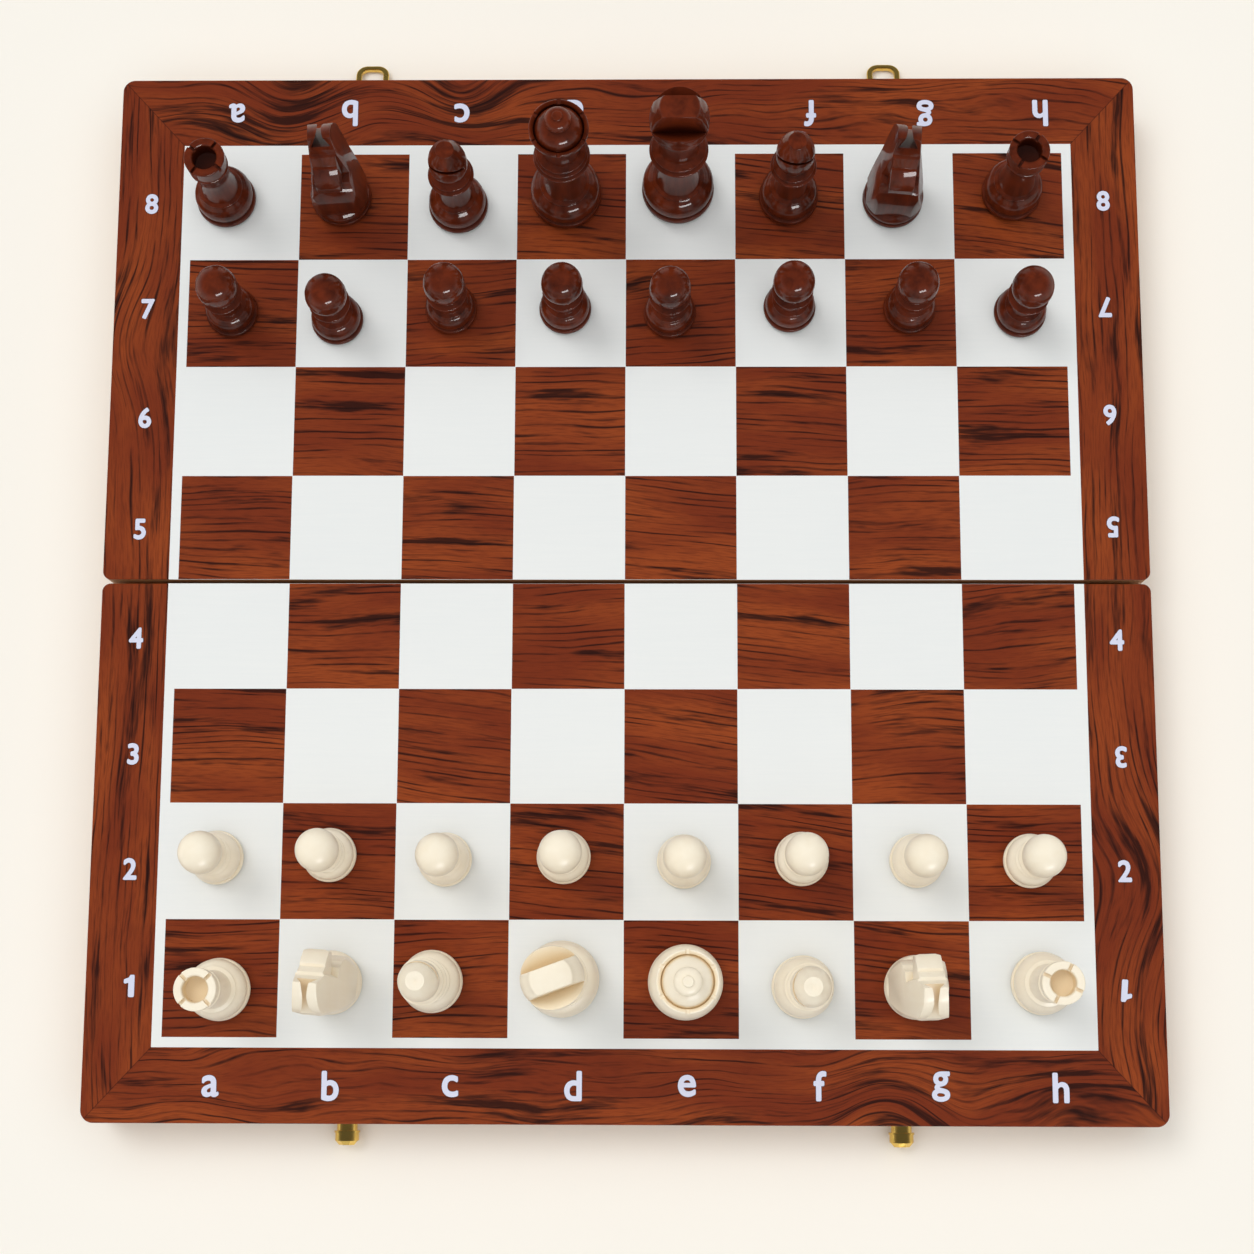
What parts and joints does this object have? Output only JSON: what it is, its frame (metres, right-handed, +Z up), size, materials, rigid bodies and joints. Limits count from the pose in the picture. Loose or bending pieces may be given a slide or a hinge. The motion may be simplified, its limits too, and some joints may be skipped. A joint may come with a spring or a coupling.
{
  "type": "folding chess set",
  "caption": "Wooden chessboard case that folds in two under brass loop clasps, open flat with its men set out.",
  "frame": {"origin": "on the table, below the middle of the seam between the two halves", "axes": "+X along the files from a to h, +Y from rank 1 to rank 8 (towards the half with the loops), +Z up"},
  "size_m": [0.38, 0.4095, 0.1066],
  "materials": {
    "beech_wall": "satin clear lacquer",
    "plywood": "raw sanded",
    "rosewood_veneer": "satin lacquer",
    "white_veneer": "satin lacquer",
    "steel_sheet": "mill",
    "green_felt": "napped",
    "mahogany_lacquer": "gloss lacquer",
    "cream_lacquer": "gloss lacquer",
    "steel_pin": "plain",
    "brass": "polished"
  },
  "bodies": {
    "far_half": {"far_border_veneer": "rosewood_veneer", "far_dark_squares": "rosewood_veneer", "far_end_wall": "beech_wall", "far_felt_lining": "green_felt", "far_hinge_wall": "beech_wall", "far_light_field": "white_veneer", "far_screws": "brass", "far_side_walls": "beech_wall", "far_steel_sheet": "steel_sheet", "far_top_panel": "plywood", "hinge_leaves_far": "brass", "hinge_pins": "steel_pin", "loop_brackets": "brass"},
    "near_half": {"hinge_leaves_near": "brass", "knobs": "brass", "near_border_veneer": "rosewood_veneer", "near_dark_squares": "rosewood_veneer", "near_end_wall": "beech_wall", "near_felt_lining": "green_felt", "near_hinge_wall": "beech_wall", "near_light_field": "white_veneer", "near_screws": "brass", "near_side_walls": "beech_wall", "near_steel_sheet": "steel_sheet", "near_top_panel": "plywood"},
    "left_loop": {"left_loop": "brass"},
    "right_loop": {"right_loop": "brass"},
    "dark_bishop_c8": {"dark_bishop_c8": "mahogany_lacquer"},
    "dark_bishop_f8": {"dark_bishop_f8": "mahogany_lacquer"},
    "dark_king_e8": {"dark_king_e8": "mahogany_lacquer"},
    "dark_knight_b8": {"dark_knight_b8": "mahogany_lacquer"},
    "dark_knight_g8": {"dark_knight_g8": "mahogany_lacquer"},
    "dark_pawn_a7": {"dark_pawn_a7": "mahogany_lacquer"},
    "dark_pawn_b7": {"dark_pawn_b7": "mahogany_lacquer"},
    "dark_pawn_c7": {"dark_pawn_c7": "mahogany_lacquer"},
    "dark_pawn_d7": {"dark_pawn_d7": "mahogany_lacquer"},
    "dark_pawn_e7": {"dark_pawn_e7": "mahogany_lacquer"},
    "dark_pawn_f7": {"dark_pawn_f7": "mahogany_lacquer"},
    "dark_pawn_g7": {"dark_pawn_g7": "mahogany_lacquer"},
    "dark_pawn_h7": {"dark_pawn_h7": "mahogany_lacquer"},
    "dark_queen_d8": {"dark_queen_d8": "mahogany_lacquer"},
    "dark_rook_a8": {"dark_rook_a8": "mahogany_lacquer"},
    "dark_rook_h8": {"dark_rook_h8": "mahogany_lacquer"},
    "light_bishop_c1": {"light_bishop_c1": "cream_lacquer"},
    "light_bishop_f1": {"light_bishop_f1": "cream_lacquer"},
    "light_king_d1": {"light_king_d1": "cream_lacquer"},
    "light_knight_b1": {"light_knight_b1": "cream_lacquer"},
    "light_knight_g1": {"light_knight_g1": "cream_lacquer"},
    "light_pawn_a2": {"light_pawn_a2": "cream_lacquer"},
    "light_pawn_b2": {"light_pawn_b2": "cream_lacquer"},
    "light_pawn_c2": {"light_pawn_c2": "cream_lacquer"},
    "light_pawn_d2": {"light_pawn_d2": "cream_lacquer"},
    "light_pawn_e2": {"light_pawn_e2": "cream_lacquer"},
    "light_pawn_f2": {"light_pawn_f2": "cream_lacquer"},
    "light_pawn_g2": {"light_pawn_g2": "cream_lacquer"},
    "light_pawn_h2": {"light_pawn_h2": "cream_lacquer"},
    "light_queen_e1": {"light_queen_e1": "cream_lacquer"},
    "light_rook_a1": {"light_rook_a1": "cream_lacquer"},
    "light_rook_h1": {"light_rook_h1": "cream_lacquer"}
  },
  "joints": [
    {"name": "board_fold", "type": "hinge", "parent": "far_half", "child": "near_half", "pos_m": [0, 0, 0.00125], "axis": [1, 0, 0], "range_deg": [-1, 180]},
    {"name": "clasp_left_swing", "type": "hinge", "parent": "far_half", "child": "left_loop", "pos_m": [-0.099, 0.1947, 0.00565], "axis": [-1, 0, 0], "range_deg": [-108, 72]},
    {"name": "clasp_right_swing", "type": "hinge", "parent": "far_half", "child": "right_loop", "pos_m": [0.099, 0.1947, 0.00565], "axis": [-1, 0, 0], "range_deg": [-108, 72]},
    {"name": "lift_dark_bishop_c8", "type": "slide", "parent": "far_half", "child": "dark_bishop_c8", "axis": [0, 0, 1], "range_m": [0, 0.1]},
    {"name": "lift_dark_bishop_f8", "type": "slide", "parent": "far_half", "child": "dark_bishop_f8", "axis": [0, 0, 1], "range_m": [0, 0.1]},
    {"name": "lift_dark_king_e8", "type": "slide", "parent": "far_half", "child": "dark_king_e8", "axis": [0, 0, 1], "range_m": [0, 0.1]},
    {"name": "lift_dark_knight_b8", "type": "slide", "parent": "far_half", "child": "dark_knight_b8", "axis": [0, 0, 1], "range_m": [0, 0.1]},
    {"name": "lift_dark_knight_g8", "type": "slide", "parent": "far_half", "child": "dark_knight_g8", "axis": [0, 0, 1], "range_m": [0, 0.1]},
    {"name": "lift_dark_pawn_a7", "type": "slide", "parent": "far_half", "child": "dark_pawn_a7", "axis": [0, 0, 1], "range_m": [0, 0.1]},
    {"name": "lift_dark_pawn_b7", "type": "slide", "parent": "far_half", "child": "dark_pawn_b7", "axis": [0, 0, 1], "range_m": [0, 0.1]},
    {"name": "lift_dark_pawn_c7", "type": "slide", "parent": "far_half", "child": "dark_pawn_c7", "axis": [0, 0, 1], "range_m": [0, 0.1]},
    {"name": "lift_dark_pawn_d7", "type": "slide", "parent": "far_half", "child": "dark_pawn_d7", "axis": [0, 0, 1], "range_m": [0, 0.1]},
    {"name": "lift_dark_pawn_e7", "type": "slide", "parent": "far_half", "child": "dark_pawn_e7", "axis": [0, 0, 1], "range_m": [0, 0.1]},
    {"name": "lift_dark_pawn_f7", "type": "slide", "parent": "far_half", "child": "dark_pawn_f7", "axis": [0, 0, 1], "range_m": [0, 0.1]},
    {"name": "lift_dark_pawn_g7", "type": "slide", "parent": "far_half", "child": "dark_pawn_g7", "axis": [0, 0, 1], "range_m": [0, 0.1]},
    {"name": "lift_dark_pawn_h7", "type": "slide", "parent": "far_half", "child": "dark_pawn_h7", "axis": [0, 0, 1], "range_m": [0, 0.1]},
    {"name": "lift_dark_queen_d8", "type": "slide", "parent": "far_half", "child": "dark_queen_d8", "axis": [0, 0, 1], "range_m": [0, 0.1]},
    {"name": "lift_dark_rook_a8", "type": "slide", "parent": "far_half", "child": "dark_rook_a8", "axis": [0, 0, 1], "range_m": [0, 0.1]},
    {"name": "lift_dark_rook_h8", "type": "slide", "parent": "far_half", "child": "dark_rook_h8", "axis": [0, 0, 1], "range_m": [0, 0.1]},
    {"name": "lift_light_bishop_c1", "type": "slide", "parent": "near_half", "child": "light_bishop_c1", "axis": [0, 0, 1], "range_m": [0, 0.1]},
    {"name": "lift_light_bishop_f1", "type": "slide", "parent": "near_half", "child": "light_bishop_f1", "axis": [0, 0, 1], "range_m": [0, 0.1]},
    {"name": "lift_light_king_d1", "type": "slide", "parent": "near_half", "child": "light_king_d1", "axis": [0, 0, 1], "range_m": [0, 0.1]},
    {"name": "lift_light_knight_b1", "type": "slide", "parent": "near_half", "child": "light_knight_b1", "axis": [0, 0, 1], "range_m": [0, 0.1]},
    {"name": "lift_light_knight_g1", "type": "slide", "parent": "near_half", "child": "light_knight_g1", "axis": [0, 0, 1], "range_m": [0, 0.1]},
    {"name": "lift_light_pawn_a2", "type": "slide", "parent": "near_half", "child": "light_pawn_a2", "axis": [0, 0, 1], "range_m": [0, 0.1]},
    {"name": "lift_light_pawn_b2", "type": "slide", "parent": "near_half", "child": "light_pawn_b2", "axis": [0, 0, 1], "range_m": [0, 0.1]},
    {"name": "lift_light_pawn_c2", "type": "slide", "parent": "near_half", "child": "light_pawn_c2", "axis": [0, 0, 1], "range_m": [0, 0.1]},
    {"name": "lift_light_pawn_d2", "type": "slide", "parent": "near_half", "child": "light_pawn_d2", "axis": [0, 0, 1], "range_m": [0, 0.1]},
    {"name": "lift_light_pawn_e2", "type": "slide", "parent": "near_half", "child": "light_pawn_e2", "axis": [0, 0, 1], "range_m": [0, 0.1]},
    {"name": "lift_light_pawn_f2", "type": "slide", "parent": "near_half", "child": "light_pawn_f2", "axis": [0, 0, 1], "range_m": [0, 0.1]},
    {"name": "lift_light_pawn_g2", "type": "slide", "parent": "near_half", "child": "light_pawn_g2", "axis": [0, 0, 1], "range_m": [0, 0.1]},
    {"name": "lift_light_pawn_h2", "type": "slide", "parent": "near_half", "child": "light_pawn_h2", "axis": [0, 0, 1], "range_m": [0, 0.1]},
    {"name": "lift_light_queen_e1", "type": "slide", "parent": "near_half", "child": "light_queen_e1", "axis": [0, 0, 1], "range_m": [0, 0.1]},
    {"name": "lift_light_rook_a1", "type": "slide", "parent": "near_half", "child": "light_rook_a1", "axis": [0, 0, 1], "range_m": [0, 0.1]},
    {"name": "lift_light_rook_h1", "type": "slide", "parent": "near_half", "child": "light_rook_h1", "axis": [0, 0, 1], "range_m": [0, 0.1]}
  ]
}
